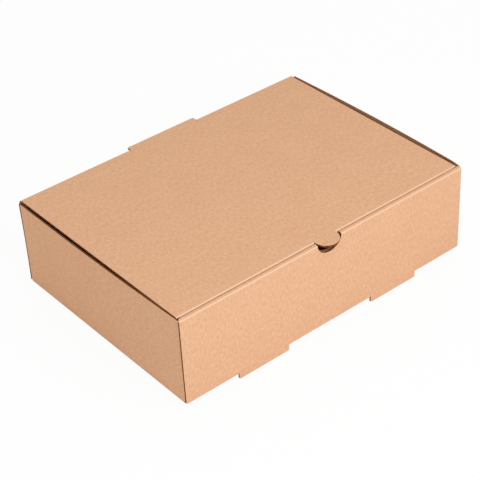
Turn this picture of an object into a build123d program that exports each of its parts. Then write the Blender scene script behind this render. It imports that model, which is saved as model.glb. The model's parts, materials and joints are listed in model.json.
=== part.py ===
from build123d import *
import math
import os

# Takeaway food box: one sheet of fine-fluted kraft board, die-cut, creased and folded.
# X runs along the length, the front faces -Y and Z is up. All sizes are in millimetres.
# The origin is the middle of the floor's underside.

# Outside of the folded box
length = 260.0
depth = 184.0
height = 71.0

# Board, creases and cuts
board = 1.2
fold_radius = 0.2
layer_gap = 0.1
kerf = 0.3

# Flaps that fold in from the ends of the side walls
front_flap = 62.0
rear_flap = 46.0
flap_corner = 9.0

# Tongues under the front wall, with the lock tabs of the inner front panel behind them
tongue_spacing = 123.6
tongue_width = 45.0
tongue_drop = 4.7
tongue_corner = 1.2
lock_tab_inset = 1.0

# Thumb tab of the lid and the notch for it in the front wall
thumb_radius = 10.3
thumb_gap = 0.7
notch_depth = 9.6

# Lid with its tuck flap
lid_rear_gap = 0.5
lid_front_gap = 0.7
lid_drop_gap = 0.5
hinge_gap = 0.3
tuck_gap = 0.4
tuck_depth = 24.0
tuck_inset = 3.0
tuck_taper = 4.0
tuck_corner = 10.0

# Vent in the back wall and the tongue that is cut from it
vent_width = 62.5
vent_reach = 3.6
vent_corner = 1.0

# Faces and heights that follow from these
front = -depth / 2
back = depth / 2
outer_fold = fold_radius + board
stack = 3 * board + 2 * layer_gap
rollover_fold = min(outer_fold, (stack - layer_gap) / 2)
inner_face = front + stack
inner_foot = board + layer_gap
front_flap_face = front + board + layer_gap
rear_flap_face = back - board - layer_gap
flap_foot = outer_fold + kerf
side_top = height - board - lid_drop_gap
crease_end = length / 2 - outer_fold - kerf
inner_half = length / 2 - board - kerf
hinge_y = back - board / 2
hinge_z = height - board / 2
back_top = height - board - hinge_gap
lid_rear_half = length / 2 - board - lid_rear_gap
lid_front_half = length / 2 - board - lid_front_gap
tuck_face = inner_face + tuck_gap
lid_reach = hinge_y - tuck_face


def shifted(corners, distance):
    """The corners of a folded line, moved to its left by a distance."""
    points = [Vector(*corner) for corner in corners]
    runs = [(end - start).normalized() for start, end in zip(points, points[1:])]
    sides = [Vector(-run.Y, run.X) for run in runs]
    moved = [points[0] + sides[0] * distance]
    for point, before, after in zip(points[1:-1], sides, sides[1:]):
        moved.append(point + (before + after) * (distance / (1 + before.dot(after))))
    moved.append(points[-1] + sides[-1] * distance)
    return moved


def folded_section(corners, folds):
    """Section of the board along a folded line, with its outer face on the line."""
    outer = FilletPolyline(*corners, radius=folds)
    inner = FilletPolyline(*shifted(corners, board), radius=[fold - board for fold in folds])
    cut_ends = [Line(outer @ 0, inner @ 0), Line(outer @ 1, inner @ 1)]
    return make_face([outer, inner] + cut_ends)


def upright_plate(outline, face):
    """A cut outline in X and Z, one board thick, with its front at a given Y."""
    return extrude(Plane((0, face, 0), x_dir=(1, 0, 0), z_dir=(0, -1, 0)) * outline, amount=-board)


def rounded_tab(width, bottom, top, corner):
    """Outline of a tab that hangs from a panel, with its two lower corners rounded."""
    tab = Pos(0, (bottom + top) / 2) * Rectangle(width, top - bottom)
    return fillet(tab.vertices().sort_by(Axis.Y)[:2], corner)


def front_to_back():
    """Inner front panel, roll-over, front wall, floor and back wall as one folded strip."""
    line = [
        (inner_face, inner_foot),
        (inner_face, height),
        (front, height),
        (front, 0),
        (back, 0),
        (back, back_top),
    ]
    section = folded_section(line, [rollover_fold, rollover_fold, outer_fold, outer_fold])
    strip = extrude(Plane.YZ * section, amount=length / 2, both=True)
    fold_end = length / 2 - crease_end
    panel_end = length / 2 - inner_half
    for side in (-1, 1):
        floor_corner = Box(fold_end, depth, outer_fold, align=(Align.CENTER, Align.CENTER, Align.MIN))
        strip -= Pos(side * (crease_end + fold_end / 2), 0, 0) * floor_corner
        panel_corner = Box(panel_end, rollover_fold, height, align=(Align.CENTER, Align.MAX, Align.MIN))
        strip -= Pos(side * (inner_half + panel_end / 2), inner_face, 0) * panel_corner
    return strip


def side_to_side():
    """Both side walls and the floor between them as one folded strip."""
    line = [(-length / 2, side_top), (-length / 2, 0), (length / 2, 0), (length / 2, side_top)]
    section = folded_section(line, [outer_fold, outer_fold])
    wall_front = front_flap_face + outer_fold
    wall_back = rear_flap_face - outer_fold
    strip = extrude(Plane.XZ * section, amount=wall_back - wall_front)
    return Pos(0, wall_back, 0) * strip


def side_with_flaps():
    """Left side wall with the flaps that fold in behind the front wall and the back wall."""
    line = [
        (-length / 2 + rear_flap, rear_flap_face),
        (-length / 2, rear_flap_face),
        (-length / 2, front_flap_face),
        (-length / 2 + front_flap, front_flap_face),
    ]
    section = folded_section(line, [outer_fold, outer_fold])
    strip = Pos(0, 0, flap_foot) * extrude(section, amount=side_top - flap_foot)
    flap_ends = strip.edges().filter_by(Axis.Y).filter_by(lambda edge: edge.length < 2 * board)
    return fillet(flap_ends, flap_corner)


def lock_slots_and_tabs(tray):
    """Cut the two lock slots, leave their tongues on the front wall and add the lock tabs."""
    fold_arc = (outer_fold - board / 2) * math.pi / 2
    slot_depth = outer_fold + (outer_fold + tongue_drop - fold_arc) + kerf
    tongue = rounded_tab(tongue_width, -tongue_drop, outer_fold, tongue_corner)
    lock_tab = rounded_tab(tongue_width - 2 * lock_tab_inset, 0, inner_foot, tongue_corner)
    for side in (-1, 1):
        place = Pos(side * tongue_spacing / 2, 0, 0)
        for reach, rise in ((slot_depth, board), (outer_fold, outer_fold)):
            tray -= place * Pos(0, front + reach / 2, 0) * Box(tongue_width + 2 * kerf, reach, 2 * rise)
        tray += place * upright_plate(tongue, front)
        tray += place * upright_plate(lock_tab, inner_face - board)
    return tray


def make_tray():
    """Floor, four walls, tucked flaps, lock tabs, thumb notch and vent."""
    left = side_with_flaps()
    tray = front_to_back() + side_to_side() + left + mirror(left, about=Plane.YZ)
    tray = lock_slots_and_tabs(tray)
    notch = extrude(Plane.XZ * Ellipse(thumb_radius + thumb_gap, notch_depth), amount=stack, both=True)
    tray -= Pos(0, front + stack / 2, height) * notch
    tongue_swing = math.hypot(vent_reach + board / 2, board / 2) + hinge_gap
    vent = rounded_tab(vent_width + 2 * kerf, hinge_z - tongue_swing, height, vent_corner)
    return tray - upright_plate(vent, back - board)


def make_lid():
    """Lid panel with its rounded hinge edge, tuck flap, thumb tab and vent tongue."""
    lean = math.asin(tuck_depth / (2 * lid_reach))
    tuck_end = (tuck_face + tuck_depth * math.sin(lean), height - tuck_depth * math.cos(lean))
    section = folded_section([(hinge_y, height), (tuck_face, height), tuck_end], [outer_fold])
    section += Pos(hinge_y, hinge_z) * Circle(board / 2)
    lid = extrude(Plane.YZ * section, amount=length / 2, both=True)

    # The panel narrows from the hinge to the front, so that it drops in between the side walls.
    plan_line = Polyline(
        (-lid_front_half, tuck_face),
        (lid_front_half, tuck_face),
        (lid_rear_half, back),
        (-lid_rear_half, back),
        close=True,
    )
    lid &= extrude(make_face(plan_line), amount=height)

    # The tuck flap is narrower than the panel and tapers to rounded corners.
    tuck_top = height - outer_fold
    top_half = lid_front_half - tuck_inset
    tuck_line = Polyline(
        (-top_half, tuck_top),
        (tuck_taper - top_half, tuck_end[1] - board),
        (top_half - tuck_taper, tuck_end[1] - board),
        (top_half, tuck_top),
        close=True,
    )
    tuck = make_face(tuck_line)
    tuck = fillet(tuck.vertices().sort_by(Axis.Y)[:2], tuck_corner)
    panel = Pos(0, height - outer_fold / 2) * Rectangle(length, outer_fold)
    lid &= extrude(Plane.XZ * (tuck + panel), amount=depth, both=True)

    # The thumb tab stays in the lid's plane and leaves a hole of its own outline in the flap.
    flap_plane = Plane(
        (0, tuck_face, height),
        x_dir=(1, 0, 0),
        z_dir=(0, -math.cos(lean), -math.sin(lean)),
    )
    hole = Pos(0, -outer_fold) * Circle(thumb_radius + kerf)
    hole += Pos(0, -outer_fold / 2) * Rectangle(2 * (thumb_radius + kerf), outer_fold)
    lid -= extrude(flap_plane.offset(outer_fold) * hole, amount=-(outer_fold + board + fold_radius / 2))
    tab = Pos(0, tuck_face) * Circle(thumb_radius)
    tab += Pos(0, tuck_face + outer_fold / 2) * Rectangle(2 * thumb_radius, outer_fold)
    lid += Pos(0, 0, height - board) * extrude(tab, amount=board)

    # The vent's tongue carries on behind the hinge, in the lid's plane.
    tongue = Pos(0, (hinge_y + back + vent_reach) / 2) * Rectangle(vent_width, back + vent_reach - hinge_y)
    tongue = fillet(tongue.vertices().sort_by(Axis.Y)[-2:], vent_corner)
    return lid + Pos(0, 0, height - board) * extrude(tongue, amount=board)


os.makedirs("parts", exist_ok=True)
export_step(make_tray(), "parts/tray.step")
export_step(make_lid(), "parts/lid.step")
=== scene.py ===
# %% [markdown]
# This is a takeaway food box: one sheet of fine-fluted kraft board, die-cut, creased and folded.
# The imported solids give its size, its hinge and its place. Blender gives it the look of real board:
# two thin paper liners with a wavy paper between them, round folds, raw cut edges and kraft fibre.
# The box is drawn once as a flat blank, as the die cuts it, and then folded up by a rule.

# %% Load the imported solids
import json
import math

import bpy
import numpy as np
from mathutils import Matrix, Vector
from mathutils.geometry import delaunay_2d_cdt


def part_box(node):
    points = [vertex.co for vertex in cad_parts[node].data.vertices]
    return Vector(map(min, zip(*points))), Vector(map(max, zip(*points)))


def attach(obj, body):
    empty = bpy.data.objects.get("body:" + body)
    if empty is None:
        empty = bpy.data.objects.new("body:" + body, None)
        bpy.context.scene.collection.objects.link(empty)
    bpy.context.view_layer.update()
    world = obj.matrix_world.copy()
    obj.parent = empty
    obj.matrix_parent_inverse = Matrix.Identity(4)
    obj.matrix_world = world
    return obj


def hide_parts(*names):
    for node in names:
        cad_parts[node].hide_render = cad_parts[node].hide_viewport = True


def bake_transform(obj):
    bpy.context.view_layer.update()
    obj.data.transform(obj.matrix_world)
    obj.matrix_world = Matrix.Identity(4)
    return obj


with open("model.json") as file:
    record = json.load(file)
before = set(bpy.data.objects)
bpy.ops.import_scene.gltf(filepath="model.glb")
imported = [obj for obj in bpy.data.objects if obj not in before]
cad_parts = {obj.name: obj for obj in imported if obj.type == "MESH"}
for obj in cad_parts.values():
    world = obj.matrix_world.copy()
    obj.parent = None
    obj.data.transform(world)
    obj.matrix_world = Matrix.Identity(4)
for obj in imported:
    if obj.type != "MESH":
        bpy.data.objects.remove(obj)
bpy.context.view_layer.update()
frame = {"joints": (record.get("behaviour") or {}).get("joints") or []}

MM = 0.001

# %% [markdown]
# Every size is in millimetres here and becomes metres when a mesh is made. The outside sizes come
# from the solids and the board's thickness from the hinge, which lies in the middle of the board.
# The other sizes repeat the die's own: they can't be read from a box around a solid.

# %% Sizes from the solids
tray_low, tray_high = (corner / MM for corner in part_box("tray"))
lid_low, lid_high = (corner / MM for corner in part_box("lid"))
_, hinge_y, hinge_z = (value / MM for value in frame["joints"][0]["pos_m"])

half_length = tray_high.x
front = tray_low.y
back = tray_high.y
height = tray_high.z
tongue_tip = tray_low.z
thumb_tip = lid_low.y
vent_tip = lid_high.y
lid_rear_half = lid_high.x
board = 2 * (height - hinge_z)
print(f"box {2 * half_length:.1f} x {back - front:.1f} x {height:.1f} mm, board {board:.2f} mm")

# %% [markdown]
# A creasing rule crushes the board before it is folded. So a real fold turns more tightly than the
# solids' plain bend of fold_radius, with an outer edge of its own for each kind of fold and an almost
# sharp root. The die's cuts leave a narrow kerf, and layers on each other keep a hair's gap.

# %% Board, creases and cuts
fold_radius = 0.2
fold_edge = 0.6
flap_edge = 0.7
roll_edge = 1.2
hinge_edge = 1.0
fold_root = 0.05
layer_gap = 0.1
kerf = 0.3

outer_fold = fold_radius + board
stack = 3 * board + 2 * layer_gap
inner_face = front + stack
front_flap_face = front + board + layer_gap
rear_flap_face = back - board - layer_gap
print(f"front wall of three layers, {stack:.2f} mm deep")

# %% [markdown]
# A fold line is a chain of straight runs and folds. Walking along its outer face, each distance gives
# the outer point, the way across the board to the inner face and how much paler the paper is drawn
# there, partly as crease whitening and partly as a painted highlight. Bend modifiers could fold a flat
# mesh too, but each bends the whole of it, and a box needs a dozen folds at exact places.

# %% Folding rule
# Paler folds fade out over this distance; the paler colour is partly crease whitening and partly a painted
# highlight.
PALE_AND_HIGHLIGHT_BLUR = 0.8
SNAP = 1e-5


class FoldLine:
    """A line of straight runs and left-hand folds, measured along the board's outer face."""

    def __init__(self, corners, edges, pale_and_highlight):
        points = [np.array(corner, float) for corner in corners]
        ways = [(end - start) / np.linalg.norm(end - start) for start, end in zip(points, points[1:])]
        turns = [math.acos(np.clip(way @ after, -1, 1)) for way, after in zip(ways, ways[1:])]
        halves = [math.tan(turn / 2) for turn in (0.0, *turns, 0.0)]
        trims = [edge * half for edge, half in zip((0.0, *edges, 0.0), halves)]
        inner_trims = [(board + fold_root) * half for half in halves]
        self.runs = []
        self.folds = []
        walked = 0.0
        for number, way in enumerate(ways):
            begin = points[number] + way * trims[number]
            end = points[number + 1] - way * trims[number + 1]
            reach = np.linalg.norm(end - begin)
            inner_begin = inner_trims[number] - trims[number]
            inner_end = reach - inner_trims[number + 1] + trims[number + 1]
            self.runs.append((walked, walked + reach, begin, way, (inner_begin, inner_end)))
            walked += reach
            if number < len(turns):
                bend = (points[number + 1], way, turns[number], edges[number])
                fold_end = walked + edges[number] * turns[number]
                self.folds.append((walked, fold_end, bend, pale_and_highlight[number]))
                walked = fold_end

    def on(self, run, point):
        """Distance at which a run passes a point."""
        start, _, begin, way, _ = self.runs[run]
        return start + (np.array(point) - begin) @ way

    def start(self, run):
        """Distance at which a run begins."""
        return self.runs[run][0]

    def end(self, run):
        """Distance at which a run ends."""
        return self.runs[run][1]

    def at(self, distance):
        """Outer point, way across the board and how much paler the paper is drawn at a distance, as crease
        whitening with a painted highlight.
        """
        paleness_and_highlight = 0.0
        for start, end, (corner, way, turn, edge), pale_and_highlight in self.folds:
            if start < distance < end:
                left = np.array((-way[1], way[0]))
                angle = turn * (distance - start) / (end - start)
                after = left * math.cos(turn) - way * math.sin(turn)
                middle = (left + after) / (1 + math.cos(turn))
                inward = left * math.cos(angle) - way * math.sin(angle)
                outer = corner + (middle - inward) * edge
                inner = corner + middle * (board + fold_root) - inward * fold_root
                return outer, (inner - outer) / board, pale_and_highlight
            gap = max(start - distance, distance - end)
            paleness_and_highlight = max(paleness_and_highlight, pale_and_highlight * (1 - gap / PALE_AND_HIGHLIGHT_BLUR))
        for start, end, begin, way, inner_reach in self.runs:
            if distance <= end + SNAP:
                break
        reach = distance - start
        inward = np.array((-way[1], way[0])) + way * (np.clip(reach, *inner_reach) - reach) / board
        return begin + way * reach, inward, paleness_and_highlight

    def rows(self, spacing, fold_steps):
        """Distances that divide the runs evenly and the folds finely."""
        marks = []
        for start, end, *_ in self.runs:
            marks.extend(np.linspace(start, end, max(1, math.ceil((end - start) / spacing)) + 1))
        for start, end, *_ in self.folds:
            marks.extend(np.linspace(start, end, fold_steps + 1)[1:-1])
            marks.extend((start - PALE_AND_HIGHLIGHT_BLUR, end + PALE_AND_HIGHLIGHT_BLUR))
        return sorted(marks)


# %% [markdown]
# Three lines fold the tray. The long one runs from the inner front panel's foot over the roll-over,
# down the front wall, across the floor and up the back wall to the lid's crease. The side line runs
# from the floor's middle up a side wall, and the flap line runs round that wall from flap to flap.

# %% Fold lines of the tray
INNER_RUN, ROLL_RUN, FRONT_RUN, FLOOR_RUN, BACK_RUN = range(5)
BASE_RUN, WALL_RUN, FORE_RUN = range(3)
front_flap = 62.0
rear_flap = 46.0
lid_drop_gap = 0.5
crease_reach = 2.5
# The front wall's top fold is drawn paler: partly crease whitening, partly a painted highlight.
front_pale_and_highlight = 1.0
side_top = height - board - lid_drop_gap
wall_front = front_flap_face + flap_edge
wall_back = rear_flap_face - flap_edge
crease_foot = (back, height - crease_reach)

tray_line = FoldLine(
    [(inner_face, 0), (inner_face, height), (front, height), (front, 0), (back, 0), crease_foot],
    (roll_edge, fold_edge, fold_edge, fold_edge),
    (0, front_pale_and_highlight, 0, 0),
)
side_line = FoldLine([(0, 0), (half_length, 0), (half_length, side_top)], (fold_edge,), (0,))
flap_line = FoldLine(
    [
        (-half_length + rear_flap, rear_flap_face),
        (-half_length, rear_flap_face),
        (-half_length, front_flap_face),
        (-half_length + front_flap, front_flap_face),
    ],
    (flap_edge, flap_edge),
    (0, 0),
)
print("tray's blank, front to back", round(tray_line.end(BACK_RUN), 1), "mm")

# %% [markdown]
# The lid's line runs from the vent's tongue to the tuck flap's end. The flap leans back by the angle at
# which its end swings clear of the inner front panel. A short crease line turns from the back wall into
# the lid.

# %% Fold lines of the lid
PANEL_RUN, TUCK_RUN = range(2)
tuck_gap = 0.4
tuck_depth = 24.0
# The lid's front fold is drawn paler still: a painted highlight on top of crease whitening.
lid_pale_and_highlight = 1.4
tuck_face = inner_face + tuck_gap
lid_reach = hinge_y - tuck_face
tuck_lean = math.asin(tuck_depth / (2 * lid_reach))
tuck_end = (tuck_face + tuck_depth * math.sin(tuck_lean), height - tuck_depth * math.cos(tuck_lean))
lid_line = FoldLine([(vent_tip, height), (tuck_face, height), tuck_end], (fold_edge,), (lid_pale_and_highlight,))
hinge_line = FoldLine([crease_foot, (back, height), (back - crease_reach, height)], (hinge_edge,), (0,))
print(f"lid's blank {lid_line.end(TUCK_RUN):.1f} mm, flap leans by {math.degrees(tuck_lean):.1f} degrees")

# %% [markdown]
# The blank is cut into cells: its outline and holes are the die's cuts, and grid lines cross it where
# the board bends. A constrained Delaunay triangulation finds the cells and keeps every cut exact.
# A boolean on folded panels could cut them too, but it leaves a ragged mesh along each fold.

# %% Cells of a flat blank
WITH_VALID_FACES = 3


def cut_cells(outline, holes, across, along):
    """Points and cells of a flat outline with holes, cut along grid lines."""
    points = []
    loops = []
    for loop in (outline, *holes):
        spots = np.array(loop)
        turned = np.cross(spots, np.roll(spots, -1, axis=0)).sum()
        loops.append(list(range(len(points), len(points) + len(loop))))
        points.extend(loop if turned > 0 else loop[::-1])
    low = np.min(outline, axis=0)
    high = np.max(outline, axis=0)
    lines = [((value, low[1]), (value, high[1])) for value in across if low[0] < value < high[0]]
    lines += [((low[0], value), (high[0], value)) for value in along if low[1] < value < high[1]]
    edges = []
    for line in lines:
        edges.append((len(points), len(points) + 1))
        points.extend(line)
    vectors = [Vector(point) for point in points]
    found = delaunay_2d_cdt(vectors, edges, loops, WITH_VALID_FACES, SNAP)
    flat_points, cells, origins = found[0], found[2], found[5]
    kept = [cell for cell, origin in zip(cells, origins) if list(origin) == [0]]
    return [tuple(point) for point in flat_points], kept


# %% [markdown]
# Each cell corner is laid on its fold line. Corners that land on one place become one, so panels are
# joined as in the real sheet. Places are compared to a hundredth of a millimetre, with a small shift
# that keeps round sizes off the borders of rounding.

# %% Cells of the folded sheet
KEY_SHIFT = 0.00137
KEY_DIGITS = 2


class Sheet:
    """Cells of folded board: outer places, ways across it, paler creases with a painted highlight, and
    places on the flat blank.
    """

    def __init__(self):
        self.numbers = {}
        self.places = []
        self.inwards = []
        self.pales_and_highlights = []
        self.flats = []
        self.cells = []

    def corner(self, place, inward, pale_and_highlight, flat):
        """Number of a corner, which is shared with a neighbour that has the same one."""
        key = tuple(np.round(np.array((*place, *inward)) + KEY_SHIFT, KEY_DIGITS))
        if key not in self.numbers:
            self.numbers[key] = len(self.places)
            self.places.append(np.array(place))
            self.inwards.append(np.array(inward))
            self.pales_and_highlights.append(pale_and_highlight)
            self.flats.append(flat)
        return self.numbers[key]

    def lay(self, outline, holes, across, along, fold):
        """Cut an outline with holes along grid lines and fold every corner into place."""
        flat_points, cells = cut_cells(outline, holes, across, along)
        used = sorted({corner for cell in cells for corner in cell})
        numbers = {corner: self.corner(*fold(*flat_points[corner])) for corner in used}
        for cell in cells:
            ring = list(dict.fromkeys(numbers[corner] for corner in cell))
            if len(ring) < 3:
                continue
            spots = np.array([self.places[number] for number in ring])
            facing = np.cross(spots, np.roll(spots, -1, axis=0)).sum(axis=0)
            inward = sum(self.inwards[number] for number in ring)
            self.cells.append(ring if facing @ inward > 0 else ring[::-1])


# %% [markdown]
# The die's rules are straight lines and arcs, and the blank is the same on both sides of its middle, so
# an outline is drawn for the right half only.

# %% Arcs and halves
tab_steps = 4
flap_steps = 8
thumb_steps = 28


def arc(centre, radius, start, end, steps, squash=1.0):
    """Points of an arc between two angles in degrees, both ends included."""
    angles = np.radians(np.linspace(start, end, steps + 1))
    return [(centre[0] + radius * math.cos(a), centre[1] + radius * squash * math.sin(a)) for a in angles]


def both_halves(half):
    """A closed outline from its right half, which runs from the middle to the middle."""
    return half + [(-across, along) for across, along in reversed(half)]


# %% [markdown]
# The tray's blank is a cross. Its long strip holds the inner front panel with two lock tabs, the
# roll-over, front wall, floor and back wall, which ends at the lid's crease and has the vent cut out of
# it. The roll-over narrows towards the inner panel, so that the panel drops in between the side walls.

# %% Outline of the long strip
tongue_middle = 61.8
tongue_half = 22.5
tongue_corner = 1.2
lock_tab_inset = 1.0
roll_inset = 0.8
vent_half = 31.25
vent_corner = 1.0
hinge_gap = 0.3
inner_foot = board + layer_gap
inner_half = half_length - board - kerf
floor_half = half_length - fold_edge
crease_end = half_length - outer_fold - kerf


def tray_outline():
    """The strip from the inner front panel's foot to the back wall's top."""
    tab_low = tongue_middle - tongue_half + lock_tab_inset
    tab_high = tongue_middle + tongue_half - lock_tab_inset
    vent_swing = math.hypot(vent_tip - hinge_y, board / 2)
    vent_low = tray_line.on(BACK_RUN, (back, hinge_z - vent_swing - hinge_gap))
    vent_edge = vent_half + kerf
    front_foot = tray_line.end(FRONT_RUN)
    rear_fold = tray_line.start(BACK_RUN)
    top = tray_line.end(BACK_RUN)
    half = [(0, inner_foot), (tab_low, inner_foot)]
    half += arc((tab_low + tongue_corner, tongue_corner), tongue_corner, 180, 270, tab_steps)
    half += arc((tab_high - tongue_corner, tongue_corner), tongue_corner, 270, 360, tab_steps)
    half += [(tab_high, inner_foot), (inner_half, inner_foot)]
    half += [(inner_half - roll_inset, tray_line.end(INNER_RUN)), (half_length, tray_line.end(ROLL_RUN))]
    half += [(half_length, front_foot), (crease_end, front_foot)]
    for end, step in ((wall_front, (crease_end, floor_half)), (wall_back, (floor_half, crease_end))):
        half += [(across, tray_line.on(FLOOR_RUN, (end, 0))) for across in step]
    half += [(crease_end, rear_fold), (half_length, rear_fold), (half_length, top), (vent_edge, top)]
    half += arc((vent_edge - vent_corner, vent_low + vent_corner), vent_corner, 360, 270, tab_steps)
    half += [(0, vent_low)]
    return both_halves(half)


print("long strip drawn with", len(tray_outline()), "points")

# %% [markdown]
# Three holes are cut in the long strip. Two are the slots that the front tongues leave in the floor. The
# third lies across the roll-over and makes the thumb notch, in the front wall and the panel behind it.

# %% Lock slots and thumb notch
thumb_radius = 9.6
thumb_gap = 1.4
notch_depth = 9.6


def lock_slots():
    """The two slots that the front tongues leave in the floor and its fold."""
    top = tray_line.end(FRONT_RUN)
    fold_arc = (outer_fold - board / 2) * math.pi / 2
    bottom = tray_line.on(FLOOR_RUN, (front + 2 * outer_fold - tongue_tip - fold_arc + kerf, 0))
    slots = []
    for side in (-1, 1):
        middle = side * tongue_middle
        edge = tongue_half + kerf
        rim = [(middle - edge, top), (middle - tongue_half, top), (middle + tongue_half, top)]
        slots.append(rim + [(middle + edge, top), (middle + edge, bottom), (middle - edge, bottom)])
    return slots


def thumb_notch():
    """The hole that leaves a half-round notch in the front wall and in the inner front panel."""
    outer = (0, tray_line.on(FRONT_RUN, (front, height)))
    inner = (0, tray_line.on(INNER_RUN, (inner_face, height)))
    edge = thumb_radius + thumb_gap
    squash = notch_depth / edge
    lower = arc(outer, edge, 0, 180, thumb_steps, squash)
    return lower + arc(inner, edge, 180, 360, thumb_steps, squash)


print(f"thumb notch {2 * (thumb_radius + thumb_gap):.1f} mm wide and {notch_depth:.1f} mm deep")

# %% [markdown]
# The front wall was folded a little out of square, so its top lies more than a millimetre to the left.
# The inner panel is locked to the floor and stays truer, so the roll-over between them is a little
# askew. The rack sits in the folding rule, because it belongs to these panels alone.

# %% Folding the long strip
front_rack = -1.4
inner_share = 0.3


def fold_tray_strip(across, along):
    """Folding rule of the long strip; it meets the side folds and the tongues with their own rules."""
    place, inward, pale_and_highlight = tray_line.at(along)
    slant = 0.0
    if tray_line.start(FLOOR_RUN) - SNAP < along < tray_line.end(FLOOR_RUN) + SNAP:
        slant = math.copysign(side_line.at(abs(across))[1][0], across)
    front_foot = tray_line.end(FRONT_RUN)
    if abs(along - front_foot) < SNAP and abs(abs(across) - tongue_middle) < tongue_half + SNAP:
        inward = (1, 0)
    rack = 0.0
    if along < front_foot:
        roll = np.interp(along, (tray_line.end(INNER_RUN), tray_line.end(ROLL_RUN)), (inner_share, 1.0))
        rack = front_rack * roll * max(place[1] - fold_edge, 0) / height
    return (across + rack, *place), (slant, *inward), pale_and_highlight, (across, along)


# %% [markdown]
# The front wall's two tongues are cut out of the floor and stay upright, so they are laid as short
# panels of their own that carry the wall on downwards.

# %% Front tongues
def tongue_outline(middle):
    """A tongue, measured down from the end of the front wall's straight part."""
    drop = fold_edge - tongue_tip
    left = middle - tongue_half
    right = middle + tongue_half
    outline = [(left, 0)]
    outline += arc((left + tongue_corner, drop - tongue_corner), tongue_corner, 180, 90, tab_steps)
    outline += arc((right - tongue_corner, drop - tongue_corner), tongue_corner, 90, 0, tab_steps)
    return outline + [(right, 0)]


def fold_tongue(across, below):
    """Folding rule of a tongue, which hangs straight down."""
    root = tray_line.end(FRONT_RUN)
    return (across, front, fold_edge - below), (0, 1, 0), 0.0, (across, root + below)


# %% [markdown]
# The side walls stand to the left and right of the floor. Each has a flap at both ends, which folds in
# behind the front wall or the back wall and has rounded corners, so that it slides in without catching.

# %% Side walls with their flaps
flap_corner = 9.0
flap_foot = outer_fold + kerf


def side_outline():
    """A side wall with its two flaps: distance up the wall, and distance from the rear flap's end."""
    foot = side_line.on(WALL_RUN, (half_length, flap_foot))
    top = side_line.end(WALL_RUN)
    low = side_line.end(BASE_RUN)
    rear = flap_line.on(WALL_RUN, (-half_length, wall_back))
    fore = flap_line.on(WALL_RUN, (-half_length, wall_front))
    end = flap_line.end(FORE_RUN)
    outline = [(low, rear), (low, fore), (foot, fore)]
    outline += arc((foot + flap_corner, end - flap_corner), flap_corner, 180, 90, flap_steps)
    outline += arc((top - flap_corner, end - flap_corner), flap_corner, 90, 0, flap_steps)
    outline += arc((top - flap_corner, flap_corner), flap_corner, 0, -90, flap_steps)
    outline += arc((foot + flap_corner, flap_corner), flap_corner, 270, 180, flap_steps)
    return outline + [(foot, rear)]


def fold_side(side):
    """Folding rule of the left (-1) or right (1) side wall."""
    foot = side_line.start(WALL_RUN)
    middle = flap_line.on(WALL_RUN, (-half_length, 0))
    floor_middle = tray_line.on(FLOOR_RUN, (0, 0))

    def fold(up, along):
        (across, rise), (in_x, in_z), pale_and_highlight = side_line.at(up)
        flat = (side * up, floor_middle + middle - along)
        if up < foot - SNAP:
            return (side * across, middle - along, rise), (side * in_x, 0, in_z), pale_and_highlight, flat
        (turned, y), (in_x, in_y), flap_pale_and_highlight = flap_line.at(along)
        return (-side * turned, y, rise), (-side * in_x, in_y, in_z), max(pale_and_highlight, flap_pale_and_highlight), flat

    return fold


print("side wall with its flaps", round(flap_line.end(FORE_RUN), 1), "mm long")

# %% [markdown]
# The whole tray is the long strip, two tongues and two side walls, laid into one sheet. The strip and
# the side walls get the same cross lines where they meet, so that their corners fall together.

# %% The whole tray
def tray_sheet(across, side_rows, spacing, fold_steps):
    """The folded tray on given lines across the flutes."""
    shared_steps = max(2, math.ceil((wall_back - wall_front) / spacing))
    shared = np.linspace(wall_front, wall_back, shared_steps + 1)
    along = tray_line.rows(spacing, fold_steps) + [tray_line.on(FLOOR_RUN, (y, 0)) for y in shared]
    sheet = Sheet()
    sheet.lay(tray_outline(), [thumb_notch(), *lock_slots()], across, along, fold_tray_strip)
    for side in (-1, 1):
        sheet.lay(tongue_outline(side * tongue_middle), [], across, [], fold_tongue)
        side_along = flap_line.rows(spacing, fold_steps)
        side_along += [flap_line.on(WALL_RUN, (-half_length, y)) for y in shared]
        sheet.lay(side_outline(), [], side_rows, side_along, fold_side(side))
    return sheet


# %% [markdown]
# The lid's blank is the panel with its tuck flap, which is narrower and tapers to rounded corners. The
# thumb tab is cut out of the flap and stays in the panel's plane, so the flap keeps a hole of its
# outline. The vent's tongue stays in that plane too, behind the hinge.

# %% Outline of the lid
lid_front_gap = 0.7
tuck_inset = 3.0
tuck_taper = 4.0
tuck_corner = 10.0
lid_front_half = half_length - board - lid_front_gap
tab_root = vent_tip - lid_line.end(PANEL_RUN)
tab_straight = tab_root - thumb_tip - thumb_radius


def lid_outline():
    """The lid from the vent's tongue to the tuck flap's end."""
    panel_end = lid_line.end(PANEL_RUN)
    flap_top = lid_line.start(TUCK_RUN)
    flap_end = lid_line.end(TUCK_RUN)
    top_half = lid_front_half - tuck_inset
    crease_edge = vent_tip - (back - crease_reach)
    slant = math.degrees(math.atan2(tuck_taper, flap_end - flap_top))
    low_half = top_half - tuck_taper
    bend = tuck_corner * math.tan(math.radians(45 - slant / 2))
    half = [(0, 0)]
    half += arc((vent_half - vent_corner, vent_corner), vent_corner, 270, 360, tab_steps)
    half += [(vent_half, crease_edge), (lid_rear_half, crease_edge), (lid_front_half, panel_end)]
    half += [(lid_front_half, flap_top), (top_half, flap_top)]
    half += arc((low_half - bend, flap_end - tuck_corner), tuck_corner, slant, 90, flap_steps)
    half += [(0, flap_end)]
    return both_halves(half)


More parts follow.
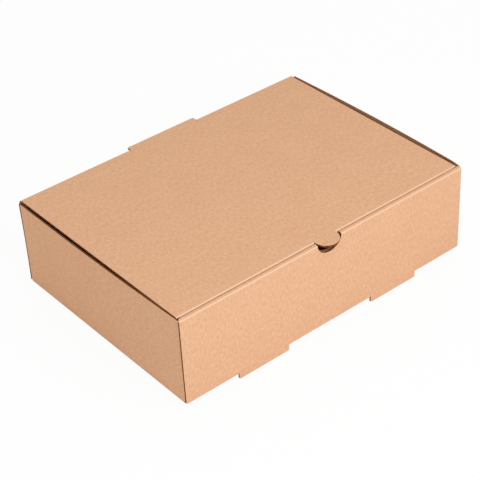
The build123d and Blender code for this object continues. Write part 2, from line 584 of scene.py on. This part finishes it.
def thumb_hole():
    """The hole that the thumb tab leaves in the tuck flap and its fold."""
    root = lid_line.end(PANEL_RUN)
    edge = thumb_radius + kerf
    centre = lid_line.on(TUCK_RUN, (tuck_face, height)) + tab_straight
    rim = [(-edge, root), (-thumb_radius, root), (thumb_radius, root)]
    return rim + arc((0, centre), edge, 0, 180, thumb_steps)


def thumb_outline():
    """The thumb tab, measured forward from the lid's fold."""
    root = [(-thumb_radius, 0), (thumb_radius, 0)]
    return root + arc((0, tab_straight), thumb_radius, 0, 180, thumb_steps)


print(f"thumb tab reaches {tab_root - thumb_tip:.1f} mm past the lid's fold")

# %% [markdown]
# The lid folds along its own line, except at the root of the thumb tab, where the panel carries on flat.
# A narrow crease strip of the same board joins the lid to the back wall on both sides of the vent. It is
# a sheet of its own.

# %% Folding the lid and its crease
def fold_lid_strip(across, along):
    """Folding rule of the lid; across the thumb tab's root the panel carries on unfolded."""
    place, inward, pale_and_highlight = lid_line.at(along)
    if abs(across) < thumb_radius + SNAP and along < lid_line.end(PANEL_RUN) + SNAP:
        pale_and_highlight = 0.0
        inward = (0, -1)
    return (across, *place), (0, *inward), pale_and_highlight, (across, along)


def fold_thumb(across, ahead):
    """Folding rule of the thumb tab, which stays in the panel's plane."""
    flat = (across, lid_line.end(PANEL_RUN) + ahead)
    return (across, tab_root - ahead, height), (0, 0, -1), 0.0, flat


def fold_hinge(across, along):
    """Folding rule of the crease strip, which carries the back wall's blank on."""
    place, inward, pale_and_highlight = hinge_line.at(along)
    return (across, *place), (0, *inward), pale_and_highlight, (across, tray_line.end(BACK_RUN) + along)


def lid_sheet(across, spacing, fold_steps):
    """The folded lid on given lines across the flutes."""
    sheet = Sheet()
    rows = lid_line.rows(spacing, fold_steps)
    sheet.lay(lid_outline(), [thumb_hole()], across, rows, fold_lid_strip)
    sheet.lay(thumb_outline(), [], across, [tab_straight], fold_thumb)
    return sheet


def hinge_sheet(across, fold_steps):
    """The two crease strips beside the vent."""
    sheet = Sheet()
    end = hinge_line.end(-1)
    inner = vent_half + kerf
    outer = half_length - kerf
    for side in (-1, 1):
        outline = [(side * inner, 0), (side * outer, 0), (side * lid_rear_half, end), (side * inner, end)]
        sheet.lay(outline, [], across, hinge_line.rows(crease_reach, fold_steps), fold_hinge)
    return sheet


# %% [markdown]
# Folded board is never quite flat or true. The side walls of a shut box bow outwards, because only the
# lid's edge holds them, and the right one stands a little higher. The back wall's ends follow them
# towards the top, and the seams beside the front wall stand open, most in their upper part. These are
# smooth shifts of a few millimetres, added after folding. A lattice could do it too, but it hides sizes.

# %% Bowed side walls and open seams
left_bow = {"most": 2.0, "middle": 30.0, "reach": 118.0, "rise": 0.0, "back": 1.0}
right_bow = {"most": 3.0, "middle": 0.0, "reach": 130.0, "rise": 1.0, "back": 0.5}
bow_width = 12.0
bow_pin = 2.5
seam_open = 1.1
seam_start = 8.0
seam_full = 36.0
seam_reach = 10.0
seam_fade = 3.0
seam_edge = 0.5
touch = layer_gap / 2


def ease(value, low, high):
    """Smooth step from 0 at low to 1 at high."""
    share = min(max((value - low) / (high - low), 0.0), 1.0)
    return share * share * (3 - 2 * share)


def seam_share(x, y, z):
    """How far the seam beside the front wall stands open at a place of the side wall's fold."""
    if not front_flap_face - touch < y < front_flap_face + seam_reach or z >= side_top + layer_gap:
        return 0.0
    near = 1 - ease(y, front_flap_face + flap_edge, front_flap_face + seam_reach)
    end = ease(abs(x), half_length - seam_fade, half_length - seam_edge)
    return near * (ease(z, seam_start, seam_full) * end)


def bend_tray(place):
    """Side walls that bow outwards between their front corners and the back wall."""
    x, y, z = place
    bow = right_bow if x > 0 else left_bow
    swell = 1 - ((y - bow["middle"]) / bow["reach"]) ** 2
    held = ease(y, front_flap_face, front_flap_face + bow_pin)
    if y > rear_flap_face + touch:
        held = bow["back"] * z / height
    edge = ease(abs(x), half_length - bow_width, half_length) * swell * held * z / height
    shift = math.copysign(bow["most"] * edge, x)
    return np.array((x + shift, y + seam_open * seam_share(x, y, z), z + bow["rise"] * edge))


print("side walls bow by", left_bow["most"], "and", right_bow["most"], "mm")

# %% [markdown]
# The lid is pressed a little wider than it was cut. It lies to the left, more so at its front, and it
# stands back from the front wall by a thin gap. The crease strip follows it.

# %% The lid's place
lid_rear_shift = -0.7
lid_front_shift = -1.4
lid_slack = 0.2
lid_spread = 1.004


def bend_lid(place):
    """A lid pressed a little wider, which drifts to the left and back towards its front."""
    x, y, z = place
    reach = min(max((hinge_y - y) / lid_reach, 0.0), 1.0)
    shift = lid_rear_shift + (lid_front_shift - lid_rear_shift) * reach
    return np.array((x * lid_spread + shift, y + lid_slack * reach, z))


print("lid shifted by", lid_rear_shift, "to", lid_front_shift, "mm")

# %% [markdown]
# Fine-fluted board is three papers: a liner of about 0.2 mm on each face and a wavy medium between
# them. Each liner becomes a closed skin: the cells at two depths below the outer face, joined round
# every cut by a narrow rim, so that the raw edge of the board is real geometry. Solidify could thicken
# a sheet too, but along its normals, not across a crushed fold.

# %% Liners as closed skins
OUTSIDE, INSIDE, CUT = range(3)
SHARP_FOLD = math.radians(35)
liner = 0.2


def add_object(name, data):
    """A new object in the scene."""
    added = bpy.data.objects.new(name, data)
    bpy.context.scene.collection.objects.link(added)
    return added


def liner_skin(sheet, top, bottom, bend):
    """Vertices, paper faces and cut faces of the board between two depths below its outer face."""
    count = len(sheet.places)
    upper = [bend(place + inward * top) for place, inward in zip(sheet.places, sheet.inwards)]
    lower = [bend(place + inward * bottom) for place, inward in zip(sheet.places, sheet.inwards)]
    faces = []
    rim = {}
    for cell in sheet.cells:
        faces.append([corner + count for corner in cell])
        faces.append(cell[::-1])
        for start, end in zip(cell, cell[1:] + cell[:1]):
            if rim.pop((end, start), None) is None:
                rim[(start, end)] = True
    return upper + lower, faces, [(end + count, start + count, start, end) for start, end in rim]


def liner_piece(name, sheet, bend):
    """Both liners of a folded sheet as one piece, with the flat blank as its UV map in metres."""
    vertices = []
    faces = []
    finishes = []
    for paper, top, bottom in ((OUTSIDE, 0.0, liner), (INSIDE, board - liner, board)):
        skin, *groups = liner_skin(sheet, top, bottom, bend)
        for finish, group in zip((paper, CUT), groups):
            faces += [[corner + len(vertices) for corner in face] for face in group]
            finishes += [finish] * len(group)
        vertices += skin
    mesh = bpy.data.meshes.new(name)
    mesh.from_pydata(np.array(vertices) * MM, [], faces)
    for material in (kraft, inner_liner_painted_shade, shaded_cut_edge):
        mesh.materials.append(material)
    mesh.polygons.foreach_set("material_index", finishes)
    corners = np.empty(len(mesh.loops), int)
    mesh.loops.foreach_get("vertex_index", corners)
    flats = np.array(sheet.flats)[corners % len(sheet.flats)] * MM
    mesh.uv_layers.new(name="blank").uv.foreach_set("vector", flats.astype(np.float32).ravel())
    paleness_and_highlight = np.resize(np.array(sheet.pales_and_highlights, np.float32), len(vertices))
    mesh.attributes.new("paleness_and_highlight", "FLOAT", "POINT").data.foreach_set("value", paleness_and_highlight)
    mesh.shade_smooth()
    mesh.set_sharp_from_angle(angle=SHARP_FOLD)
    piece = add_object(name, mesh)
    print(name, len(mesh.vertices), "vertices,", len(mesh.polygons), "faces")
    return piece


# %% [markdown]
# Colours are written as sRGB hex values and turned to linear by one function. Another adds a node with
# its settings and links. The named sockets are those that a Mix node has for colours.

# %% Colour and node helpers
MIX_SHARE, MIX_FROM, MIX_TO = 0, 6, 7
MIXED = 2


def linear(code):
    """Linear RGBA from an sRGB hex colour."""
    values = [int(code[start:start + 2], 16) / 255 for start in (1, 3, 5)]
    return (*[v / 12.92 if v <= 0.04045 else ((v + 0.055) / 1.055) ** 2.4 for v in values], 1.0)


def add_node(tree, kind, inputs=(), **settings):
    """Add a node with its settings; inputs are pairs of socket and value, or socket and link."""
    node = tree.nodes.new(kind)
    for name, value in settings.items():
        setattr(node, name, value)
    for key, value in inputs:
        if isinstance(value, bpy.types.NodeSocket):
            tree.links.new(value, node.inputs[key])
        else:
            node.inputs[key].default_value = value
    return node


def new_material(name):
    """An empty node material with its output node."""
    material = bpy.data.materials.new(name)
    material.use_nodes = True
    tree = material.node_tree
    tree.nodes.clear()
    return material, tree, add_node(tree, "ShaderNodeOutputMaterial")


# %% [markdown]
# Kraft liner is unbleached pulp. Up close it is full of short fibres, darker flecks and soft clouds
# where the pulp lay thicker, and chosen folds are drawn paler, partly as crease whitening and partly as
# a painted highlight. The fibres, flecks and clouds are noise on the flat blank's own map, so they run
# on round each fold as they do on real board. Real fibres are about 0.03 mm wide, far below a pixel, so
# they are drawn coarse enough to show.

# %% Colour of the liner
PER_UNIT = 1 / MM
fibre_width = 1.6
fibre_length = 3.4
fibre_detail = 3.0
fibre_roughness = 0.6
fibre_low = 0.28
fibre_high = 0.72
# How far chosen folds are painted towards the pale tone: crease whitening with a painted highlight.
pale_and_highlight_depth = 0.55

# Size in millimetres, detail of the noise, the levels at which it begins and is full, and its depth
flecks = (1.3, 1.0, 0.66, 0.78, 0.45)
clouds = (24.0, 4.0, 0.3, 0.7, 0.16)


def liner_fibre(tree, blank):
    """Noise of short fibres that lie along the board's flutes."""
    stretch = (PER_UNIT / fibre_width, PER_UNIT / fibre_length, 1)
    place = add_node(tree, "ShaderNodeMapping", [("Vector", blank), ("Scale", stretch)])
    grain = [("Scale", 1.0), ("Detail", fibre_detail), ("Roughness", fibre_roughness)]
    return add_node(tree, "ShaderNodeTexNoise", [("Vector", place.outputs[0]), *grain]).outputs["Fac"]


def liner_colour(tree, blank, fibre, tones):
    """Pulp of two tones, then flecks and clouds over it, then the paler folds: crease whitening with a
    painted highlight.
    """
    dark, light, fleck_tone, cloud_tone, pale_and_highlight_tone = (linear(tone) for tone in tones)
    share = add_node(
        tree, "ShaderNodeMapRange", [("Value", fibre), ("From Min", fibre_low), ("From Max", fibre_high)]
    )
    layers = [(share.outputs[0], light)]
    for (size, detail, low, high, depth), tone in ((flecks, fleck_tone), (clouds, cloud_tone)):
        noise = add_node(
            tree, "ShaderNodeTexNoise", [("Vector", blank), ("Scale", PER_UNIT / size), ("Detail", detail)]
        )
        share = add_node(
            tree,
            "ShaderNodeMapRange",
            [("Value", noise.outputs["Fac"]), ("From Min", low), ("From Max", high), ("To Max", depth)],
        )
        layers.append((share.outputs[0], tone))
    # Paler folds: partly crease whitening, partly a painted highlight.
    paleness_and_highlight = add_node(tree, "ShaderNodeAttribute", attribute_name="paleness_and_highlight")
    share = add_node(
        tree, "ShaderNodeMath", [(0, paleness_and_highlight.outputs["Fac"]), (1, pale_and_highlight_depth)], operation="MULTIPLY"
    )
    layers.append((share.outputs[0], pale_and_highlight_tone))
    colour = dark
    for share, tone in layers:
        tints = [(MIX_SHARE, share), (MIX_FROM, colour), (MIX_TO, tone)]
        colour = add_node(tree, "ShaderNodeMix", tints, data_type="RGBA").outputs[MIXED]
    return colour


# %% [markdown]
# The liner is pressed smooth but never glossed. The flutes behind it show as the faintest washboard, and
# the fibres give it a little tooth. Both are a few hundredths of a millimetre deep, too little for
# geometry, so they are bumps. The inner liner is drawn darker and browner: painted shade that darkens
# the gaps and the notch where the inside shows.

# %% Kraft liner material
WAVE_TURN = 20
flute_pitch = 3.2
rib_height = 0.03
rib_strength = 0.25
tooth_height = 0.06
tooth_strength = 0.4
liner_roughness = 0.85
liner_gloss = 0.04


def liner_relief(tree, blank, fibre):
    """Normal of the paper: the washboard of the flutes under the tooth of the fibres."""
    bands = 2 * math.pi / WAVE_TURN * PER_UNIT / flute_pitch
    washboard = add_node(tree, "ShaderNodeTexWave", [("Vector", blank), ("Scale", bands)], wave_type="BANDS")
    ribs = [("Height", washboard.outputs["Fac"]), ("Strength", rib_strength), ("Distance", rib_height * MM)]
    tooth = [("Height", fibre), ("Strength", tooth_strength), ("Distance", tooth_height * MM)]
    ribbed = add_node(tree, "ShaderNodeBump", ribs)
    return add_node(tree, "ShaderNodeBump", [*tooth, ("Normal", ribbed.outputs[0])]).outputs[0]


def liner_paper(name, *tones):
    # Machine-pressed kraft paper: matt, with short fibres, flecks and clouds, and paler folds that are
    # partly crease whitening and partly a painted highlight.
    material, tree, output = new_material(name)
    blank = add_node(tree, "ShaderNodeUVMap", uv_map="blank").outputs["UV"]
    fibre = liner_fibre(tree, blank)
    paper = add_node(
        tree,
        "ShaderNodeBsdfPrincipled",
        [
            ("Base Color", liner_colour(tree, blank, fibre, tones)),
            ("Roughness", liner_roughness),
            ("Specular IOR Level", liner_gloss),
            ("Normal", liner_relief(tree, blank, fibre)),
        ],
    )
    tree.links.new(paper.outputs[0], output.inputs["Surface"])
    return material


# The last tone of each liner is its pale fold colour, partly a painted highlight.
kraft = liner_paper("kraft_liner_paper", "#D5A581", "#E9BA96", "#B98560", "#CE9A74", "#F4CFAF")
# The inner liner's darker, browner tones are painted shade for the gaps and the thumb notch.
inner_liner_painted_shade = liner_paper("inner_liner_with_painted_shade", "#BE8860", "#D29C72", "#A06C45", "#B5805A", "#E0AE86")
print("liners", kraft.name, inner_liner_painted_shade.name)

# %% [markdown]
# A die shears the board, so a cut edge shows loose fibre that was never pressed. The fluting paper is
# made of recycled brown pulp and has no pressed face either. Both are dull and darker than the liners,
# and their colours are darker still as painted shade for the hollows of the flutes and the gaps.

# %% Raw paper material with painted shade
raw_roughness = 0.95


def raw_paper_with_shade(name, dark, light):
    # Torn and cut brown paper is never coated: rough, dull and darker than the pressed liner; the colours
    # given to it also hold painted shade.
    material, tree, output = new_material(name)
    place = add_node(tree, "ShaderNodeTexCoord").outputs["Object"]
    fibre = add_node(
        tree,
        "ShaderNodeTexNoise",
        [("Vector", place), ("Scale", PER_UNIT / fibre_width), ("Detail", fibre_detail)],
    )
    tints = [(MIX_SHARE, fibre.outputs["Fac"]), (MIX_FROM, linear(dark)), (MIX_TO, linear(light))]
    colour = add_node(tree, "ShaderNodeMix", tints, data_type="RGBA").outputs[MIXED]
    paper = add_node(
        tree,
        "ShaderNodeBsdfPrincipled",
        [("Base Color", colour), ("Roughness", raw_roughness), ("Specular IOR Level", 0.0)],
    )
    tree.links.new(paper.outputs[0], output.inputs["Surface"])
    return material


# Cut edges and fluting: their own darker brown, made darker still with painted shade of flutes and gaps.
shaded_cut_edge = raw_paper_with_shade("cut_kraft_edge_painted_shade", "#6E3A12", "#8A5022")
shaded_fluting = raw_paper_with_shade("fluting_paper_painted_shade", "#5E3210", "#76441A")
print("raw papers", shaded_cut_edge.name, shaded_fluting.name)

# %% [markdown]
# The liners of the tray and the lid stand for their solids, and the crease strip is folded round the hinge.
# Flat panels get cells of about 9 mm, so that they can bow, and folds get fine steps.

# %% Folded pieces
panel_grid = 9.0
panel_steps = 8
hinge_steps = 10
panel_lines = np.linspace(-half_length, half_length, 2 * math.ceil(half_length / panel_grid) + 1)
side_lines = side_line.rows(panel_grid, panel_steps)
lid_lines = [*panel_lines, *(side * (thumb_radius + PALE_AND_HIGHLIGHT_BLUR) for side in (-1, 1))]

tray = liner_piece("tray_board", tray_sheet(panel_lines, side_lines, panel_grid, panel_steps), bend_tray)
lid = liner_piece("lid_board", lid_sheet(lid_lines, panel_grid, panel_steps), bend_lid)
crease = liner_piece("hinge_crease", hinge_sheet(panel_lines, hinge_steps), bend_lid)

# %% [markdown]
# Between the liners runs the fluted medium, a thin brown paper pressed into waves. Its rule is one
# sine wave across the flutes, so Geometry Nodes make it: the middle of the folded sheet is lifted
# along the board's own direction by the wave, and then given the paper's thickness.

# %% Node tree of the fluted medium
weld = 0.001


def flute_tree(material):
    """Geometry node tree that waves a sheet along its own direction and gives it a thickness."""
    tree = bpy.data.node_groups.new("fluted_medium", "GeometryNodeTree")
    tree.interface.new_socket("Geometry", in_out="INPUT", socket_type="NodeSocketGeometry")
    for name in ("Pitch", "Rise", "Paper"):
        tree.interface.new_socket(name, in_out="INPUT", socket_type="NodeSocketFloat")
    tree.interface.new_socket("Geometry", in_out="OUTPUT", socket_type="NodeSocketGeometry")
    given = add_node(tree, "NodeGroupInput")
    across = add_node(tree, "GeometryNodeInputNamedAttribute", [("Name", "across")])
    inward = add_node(
        tree, "GeometryNodeInputNamedAttribute", [("Name", "inward")], data_type="FLOAT_VECTOR"
    )
    half_paper = add_node(
        tree, "ShaderNodeMath", [(0, given.outputs["Paper"]), (1, 0.5)], operation="MULTIPLY"
    )
    lift = across.outputs[0]
    for operation, values in (
        ("DIVIDE", [(1, given.outputs["Pitch"])]),
        ("MULTIPLY", [(1, 2 * math.pi)]),
        ("SINE", []),
        ("MULTIPLY", [(1, given.outputs["Rise"])]),
        ("SUBTRACT", [(1, half_paper.outputs[0])]),
    ):
        lift = add_node(tree, "ShaderNodeMath", [(0, lift), *values], operation=operation).outputs[0]
    offset = add_node(
        tree, "ShaderNodeVectorMath", [(0, inward.outputs[0]), ("Scale", lift)], operation="SCALE"
    )
    waved = add_node(
        tree, "GeometryNodeSetPosition", [("Geometry", given.outputs[0]), ("Offset", offset.outputs[0])]
    )
    thick = add_node(
        tree,
        "GeometryNodeExtrudeMesh",
        [
            ("Mesh", waved.outputs[0]),
            ("Offset", inward.outputs[0]),
            ("Offset Scale", given.outputs["Paper"]),
            ("Individual", False),
        ],
    )
    underside = add_node(tree, "GeometryNodeFlipFaces", [("Mesh", waved.outputs[0])])
    joined = add_node(tree, "GeometryNodeJoinGeometry", [("Geometry", thick.outputs["Mesh"])])
    tree.links.new(underside.outputs[0], joined.inputs[0])
    closed = add_node(
        tree, "GeometryNodeMergeByDistance", [("Geometry", joined.outputs[0]), ("Distance", weld * MM)]
    )
    real = add_node(tree, "GeometryNodeRealizeInstances", [("Geometry", closed.outputs[0])])
    dressed = add_node(
        tree, "GeometryNodeSetMaterial", [("Geometry", real.outputs[0]), ("Material", material)]
    )
    add_node(tree, "NodeGroupOutput", [(0, dressed.outputs[0])])
    return tree


medium_tree = flute_tree(shaded_fluting)
print("flute tree with", len(medium_tree.nodes), "nodes")

# %% [markdown]
# The tree works on a sheet with eight steps to a wave across the flutes and few along them. The sheet
# carries two attributes: how far across the blank a corner lies, and the way across the board there. The
# result is turned into a plain mesh.

# %% Fluted medium
SHARP_WAVE = math.radians(50)
medium_paper = 0.14
wave_steps = 8
tray_spacing = 45.0
lid_spacing = 30.0
flute_steps = 4


def flute_piece(name, sheet, bend, tree):
    """The fluted medium of a folded sheet as a plain mesh."""
    middles = [bend(place + inward * board / 2) for place, inward in zip(sheet.places, sheet.inwards)]
    mesh = bpy.data.meshes.new(name + "_sheet")
    mesh.from_pydata(np.array(middles) * MM, [], sheet.cells)
    across = np.array([flat[0] for flat in sheet.flats], np.float32) * MM
    mesh.attributes.new("across", "FLOAT", "POINT").data.foreach_set("value", across)
    inwards = np.array(sheet.inwards, np.float32).ravel()
    mesh.attributes.new("inward", "FLOAT_VECTOR", "POINT").data.foreach_set("vector", inwards)
    piece = add_object(name, mesh)
    flutes = piece.modifiers.new("flutes", "NODES")
    flutes.node_group = tree
    given = {"Pitch": flute_pitch, "Rise": (board - 2 * liner - medium_paper) / 2, "Paper": medium_paper}
    for socket in tree.interface.items_tree:
        if socket.in_out == "INPUT" and socket.name in given:
            flutes[socket.identifier] = given[socket.name] * MM
    graph = bpy.context.evaluated_depsgraph_get()
    waved = bpy.data.meshes.new_from_object(piece.evaluated_get(graph), depsgraph=graph)
    piece.modifiers.remove(flutes)
    piece.data = waved
    for spare in ("across", "inward"):
        waved.attributes.remove(waved.attributes[spare])
    waved.shade_smooth()
    waved.set_sharp_from_angle(angle=SHARP_WAVE)
    print(name, len(waved.vertices), "vertices,", len(waved.polygons), "faces")
    return piece


flute_step = flute_pitch / wave_steps
flute_count = math.floor(half_length / flute_step)
side_first = math.ceil(side_line.end(BASE_RUN) / flute_step)
side_last = math.floor(side_line.end(WALL_RUN) / flute_step)
flute_lines = [flute_step * number for number in range(-flute_count, flute_count + 1)]
side_flutes = [flute_step * number for number in range(side_first, side_last + 1)]

tray_medium = tray_sheet(flute_lines, side_flutes, tray_spacing, flute_steps)
lid_medium = lid_sheet(flute_lines, lid_spacing, flute_steps)
tray_flutes = flute_piece("tray_flutes", tray_medium, bend_tray, medium_tree)
lid_flutes = flute_piece("lid_flutes", lid_medium, bend_lid, medium_tree)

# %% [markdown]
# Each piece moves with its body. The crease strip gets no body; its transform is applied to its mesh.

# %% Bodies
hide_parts("tray")
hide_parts("lid")
for piece, body in ((tray, "tray"), (tray_flutes, "tray"), (lid, "lid"), (lid_flutes, "lid")):
    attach(piece, body)
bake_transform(crease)
print("bodies given to", [piece.name for piece in (tray, tray_flutes, lid, lid_flutes, crease)])

# %% [markdown]
# The box stands on the tips of its front tongues and on its rear fold, so the floor lies under those.
# It is white card: almost plain white to the rays that show it, but it still takes a soft shadow.

# %% Floor
floor_wide = 3000.0
floor_white = 0.94


def seen_rays(tree):
    """Socket that is 1 for camera, glossy and transmission rays and 0 for the rest."""
    path = add_node(tree, "ShaderNodeLightPath")
    seen = path.outputs["Is Camera Ray"]
    for ray in ("Is Glossy Ray", "Is Transmission Ray"):
        both = [(0, seen), (1, path.outputs[ray])]
        seen = add_node(tree, "ShaderNodeMath", both, operation="MAXIMUM").outputs[0]
    return seen


def pale_floor():
    # Matt white studio card: diffuse, with a share of plain white for the rays that show it.
    material, tree, output = new_material("white_studio_card")
    card = add_node(tree, "ShaderNodeBsdfDiffuse", [("Color", linear("#F2F2F2"))])
    white = add_node(tree, "ShaderNodeEmission", [("Strength", 1.0)])
    share = add_node(
        tree, "ShaderNodeMath", [(0, seen_rays(tree)), (1, floor_white)], operation="MULTIPLY"
    )
    shown = add_node(
        tree, "ShaderNodeMixShader", [(0, share.outputs[0]), (1, card.outputs[0]), (2, white.outputs[0])]
    )
    tree.links.new(shown.outputs[0], output.inputs["Surface"])
    return material


slope = -tongue_tip / (back - fold_edge - front)
floor_corners = []
for side, end in ((-1, -1), (1, -1), (1, 1), (-1, 1)):
    y = end * floor_wide
    floor_corners.append((side * floor_wide * MM, y * MM, (tongue_tip + slope * (y - front)) * MM))
floor_mesh = bpy.data.meshes.new("studio_floor")
floor_mesh.from_pydata(floor_corners, [], [(0, 1, 2, 3)])
floor_mesh.materials.append(pale_floor())
floor = add_object("studio_floor", floor_mesh)
print(f"floor slopes by {math.degrees(math.atan(slope)):.2f} degrees")

# %% [markdown]
# The world is white to the rays that show it and dimmer and a little warm as a light. This bright
# surround does most of the lighting and leaves the gaps beside the lid dark.

# %% World
surround_level = 0.77
surround_tint = "#FFFCF7"

world = bpy.data.worlds.new("studio_world")
world.use_nodes = True
sky_tree = world.node_tree
sky_tree.nodes.clear()
seen = seen_rays(sky_tree)
level = add_node(sky_tree, "ShaderNodeMapRange", [("Value", seen), ("To Min", surround_level)])
tints = [(MIX_SHARE, seen), (MIX_FROM, linear(surround_tint)), (MIX_TO, linear("#FFFFFF"))]
colour = add_node(sky_tree, "ShaderNodeMix", tints, data_type="RGBA").outputs[MIXED]
sky = add_node(sky_tree, "ShaderNodeBackground", [("Color", colour), ("Strength", level.outputs[0])])
add_node(sky_tree, "ShaderNodeOutputWorld", [("Surface", sky.outputs[0])])
bpy.context.scene.world = world
print("surround at", surround_level)

# %% [markdown]
# One weak soft lamp stands low in front of the box, so the front is brightest, then the lid, then the
# left side. Its power follows from the light that a matt surface needs to show its own colour.

# %% Lamp
lamp_way = Vector((-0.1, -0.77, 0.63)).normalized()
lamp_distance = 0.95
lamp_size = 0.7
lamp_level = 0.44
lamp_tint = "#F2F7FF"

lamp = bpy.data.lights.new("front_softbox", "AREA")
lamp.shape = "SQUARE"
lamp.size = lamp_size
lamp.energy = lamp_level * (math.pi * lamp_distance) ** 2
lamp.color = linear(lamp_tint)[:3]
holder = add_object("front_softbox", lamp)
holder.location = lamp_way * lamp_distance
holder.rotation_mode = "QUATERNION"
holder.rotation_quaternion = lamp_way.to_track_quat("Z", "Y")
print(f"lamp of {lamp.energy:.2f} W")

# %% [markdown]
# The camera stands where the photograph's corners put it: in front, to the left and above, with a long
# lens.

# %% Camera
eye = Vector((-0.553964, -0.678948, 0.657645))
look = Vector((0.50881, 0.62912, -0.58763))
right = Vector((0.76225, -0.6465, -0.03214))

camera_data = bpy.data.cameras.new("camera")
camera_data.sensor_width = 36.0
camera_data.lens = 110.4
camera = add_object("camera", camera_data)
up = right.cross(look)
turn = Matrix((right, up, -look)).transposed()
camera.matrix_world = Matrix.Translation(eye) @ turn.to_4x4()
bpy.context.scene.camera = camera
bpy.context.scene.view_settings.view_transform = "Standard"
print(f"camera {eye.length:.3f} m away, lens {camera_data.lens:.1f} mm")
